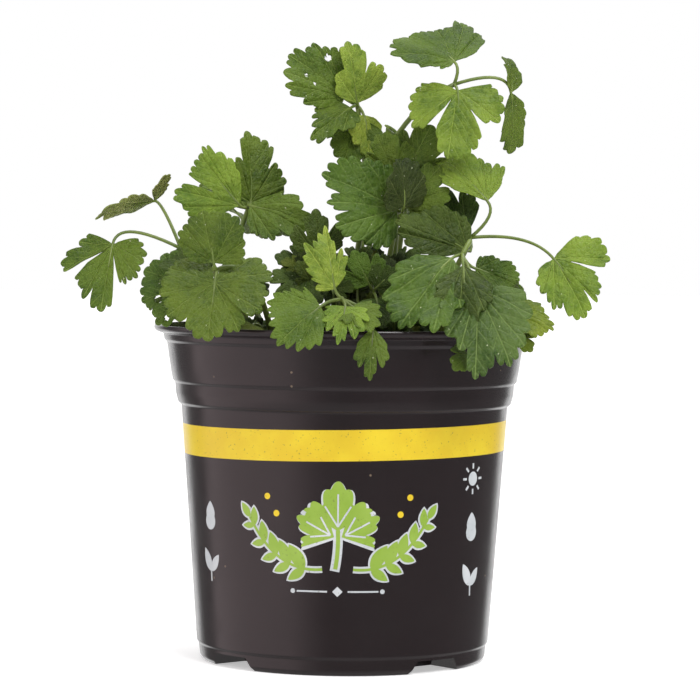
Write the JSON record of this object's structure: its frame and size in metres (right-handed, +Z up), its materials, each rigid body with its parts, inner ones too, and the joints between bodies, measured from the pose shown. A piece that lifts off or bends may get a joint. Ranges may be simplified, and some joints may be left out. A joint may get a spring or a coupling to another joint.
{
  "type": "potted parsley",
  "caption": "Flat-leaf parsley growing in a round black plastic nursery pot filled with potting mix.",
  "frame": {"origin": "centre of the pot's flat underside, on the pot's axis", "axes": "+Z up along the pot's axis; -Y is the front, where the printed side of the pot faces; +X is to the right seen from the front"},
  "size_m": [0.1629, 0.1364, 0.1915],
  "materials": {
    "black_plastic": "glossy moulded polypropylene, near black",
    "potting_mix": "rough, moist peat and bark",
    "leaf": "soft satin, living leaf"
  },
  "bodies": {
    "root": {"pot": "black_plastic", "potting_mix": "potting_mix", "leaf_far_left": "leaf", "leaf_upper_left": "leaf", "leaf_big_left": "leaf", "leaf_young": "leaf", "leaf_tall_left": "leaf", "leaf_top_right": "leaf", "leaf_right": "leaf", "leaf_big_right": "leaf", "leaf_centre": "leaf", "leaf_behind_centre": "leaf", "leaf_inner_left": "leaf", "leaf_inner_right": "leaf", "leaf_back_left_high": "leaf", "leaf_back_left_low": "leaf", "leaf_side_left": "leaf", "leaf_back_centre": "leaf", "leaf_back_right": "leaf", "leaf_back_low": "leaf", "leaf_back_high": "leaf"}
  },
  "joints": []
}
